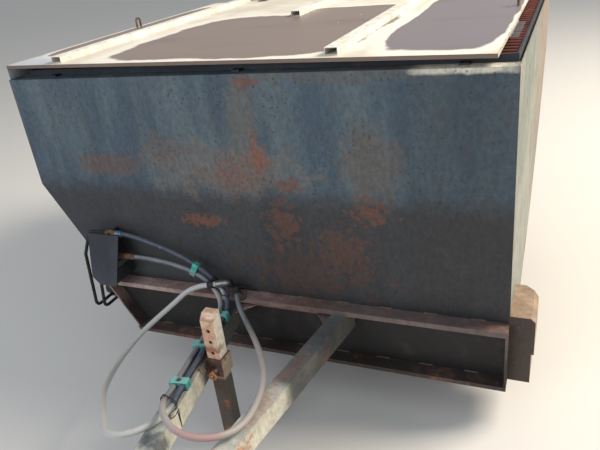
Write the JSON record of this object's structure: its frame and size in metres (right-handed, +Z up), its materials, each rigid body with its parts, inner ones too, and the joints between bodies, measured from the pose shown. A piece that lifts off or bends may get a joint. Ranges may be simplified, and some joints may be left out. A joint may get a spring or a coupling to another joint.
{
  "type": "sand spreader trailer",
  "caption": "Towed sand spreader: box hopper with rolled bottom and slanted side, ribbed feed roller, grate, hinged lid, A-shaped drawbar with parking leg and hydraulic hoses.",
  "frame": {"origin": "centre of the towing eye", "axes": "+X to the right seen from the front, +Y rearwards from the towing eye to the hopper, +Z up"},
  "size_m": [2.024, 3.25, 1.3768],
  "materials": {
    "front_paint": "faded blue-grey paint with rust streaks",
    "pale_paint": "sun-bleached pale paint with rust and stains",
    "rail_paint": "faded paint with rust",
    "lid_paint": "cream paint with puddle stains",
    "rusty_steel": "worn to brown rust",
    "orange_paint": "faded orange paint with rust",
    "grate_paint": "red-brown paint and rust",
    "bright_steel": "plain",
    "dark_steel": "dark blue-grey paint",
    "tyre_rubber": "weathered",
    "hose_dark": "weathered, dusty",
    "hose_grey": "bleached, dusty",
    "clamp_plastic": "turquoise, bleached",
    "coupler_steel": "zinc plated, dull",
    "strap_rubber": "weathered",
    "wheel_paint": "faded"
  },
  "bodies": {
    "chassis": {"front_wall": "front_paint", "left_wall": "pale_paint", "right_wall": "pale_paint", "rear_wall": "pale_paint", "bottom_plate": "rusty_steel", "outlet_lip": "rusty_steel", "upper_rail": "rail_paint", "lower_rail": "rail_paint", "rail_ends": "pale_paint", "cross_strip": "pale_paint", "grate_frame": "dark_steel", "grate_rods": "grate_paint", "grate_patch": "bright_steel", "rim_hinges": "pale_paint", "left_bearing": "pale_paint", "hydraulic_motor": "dark_steel", "motor_pipes": "dark_steel", "hose_fittings": "rusty_steel", "hose_bracket": "dark_steel", "guard_plate": "dark_steel", "side_case": "pale_paint", "beam_left": "pale_paint", "beam_right": "pale_paint", "nose_plate": "pale_paint", "tow_bar": "rusty_steel", "leg_sleeve": "rusty_steel", "leg_pin": "orange_paint", "hose_clamps": "clamp_plastic", "hose_tie": "clamp_plastic", "hose_left_loop": "hose_dark", "hose_right_loop": "hose_grey", "hose_strap": "strap_rubber", "coupler_left": "coupler_steel", "coupler_right": "coupler_steel", "axle_beam": "rusty_steel", "axle_carriers": "pale_paint"},
    "lid": {"lid_sheet": "lid_paint", "lid_ribs": "lid_paint", "lid_handles": "rusty_steel", "lid_hinges": "rusty_steel"},
    "roller": {"feed_roller": "rusty_steel"},
    "leg": {"parking_leg": "orange_paint"},
    "left_road_wheel": {"wheel_left": "wheel_paint", "tyre_left": "tyre_rubber"},
    "right_road_wheel": {"wheel_right": "wheel_paint", "tyre_right": "tyre_rubber"}
  },
  "joints": [
    {"name": "lid_hinge", "type": "hinge", "parent": "chassis", "child": "lid", "pos_m": [-0.15979, 3.152, 0.97593], "axis": [-0.9999, 0, 0.0105], "range_deg": [0, 105]},
    {"name": "feed_roller_turn", "type": "hinge", "parent": "chassis", "child": "roller", "pos_m": [0, 1.545, -0.082], "axis": [1, 0, 0], "continuous": true},
    {"name": "parking_leg_slide", "type": "slide", "parent": "chassis", "child": "leg", "axis": [0, 0, 1], "range_m": [0, 0.28]},
    {"name": "left_wheel_turn", "type": "hinge", "parent": "chassis", "child": "left_road_wheel", "pos_m": [-0.52, 2.895, -0.047], "axis": [1, 0, 0], "continuous": true},
    {"name": "right_wheel_turn", "type": "hinge", "parent": "chassis", "child": "right_road_wheel", "pos_m": [0.6, 2.895, -0.047], "axis": [1, 0, 0], "continuous": true}
  ]
}
